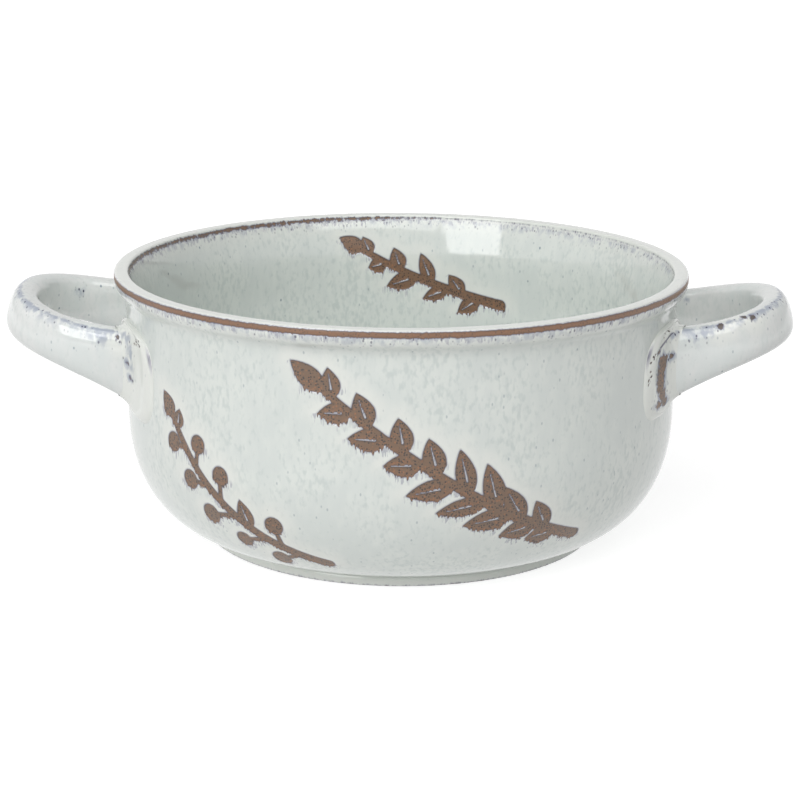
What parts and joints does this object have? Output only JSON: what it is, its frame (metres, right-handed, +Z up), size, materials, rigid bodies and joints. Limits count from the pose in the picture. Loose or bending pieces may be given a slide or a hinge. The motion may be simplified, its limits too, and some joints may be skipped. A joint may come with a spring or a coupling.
{
  "type": "soup bowl",
  "caption": "Round stoneware soup bowl with a flared lip, a low foot ring and a looped strap handle on each side, for serving soup and carrying it hot.",
  "frame": {"origin": "centre of the base, on the surface that the bowl stands on", "axes": "+X through the right handle, +Y to the back, +Z up"},
  "size_m": [0.193, 0.14, 0.066],
  "materials": {
    "bowl_glaze": "glossy pale celadon reactive glaze, with bare brown clay in the print and along the lip",
    "foot_glaze": "satin grey green glaze, wiped off the face that it stands on",
    "handle_glaze": "glossy pale grey reactive glaze with blue specks",
    "slip_glaze": "glossy white pooled glaze with dark pinholes"
  },
  "bodies": {
    "root": {"bowl_body": "bowl_glaze", "foot_ring": "foot_glaze", "right_handle": "handle_glaze", "right_front_slip_joint": "slip_glaze", "right_rear_slip_joint": "slip_glaze", "left_handle": "handle_glaze", "left_front_slip_joint": "slip_glaze", "left_rear_slip_joint": "slip_glaze"}
  },
  "joints": []
}
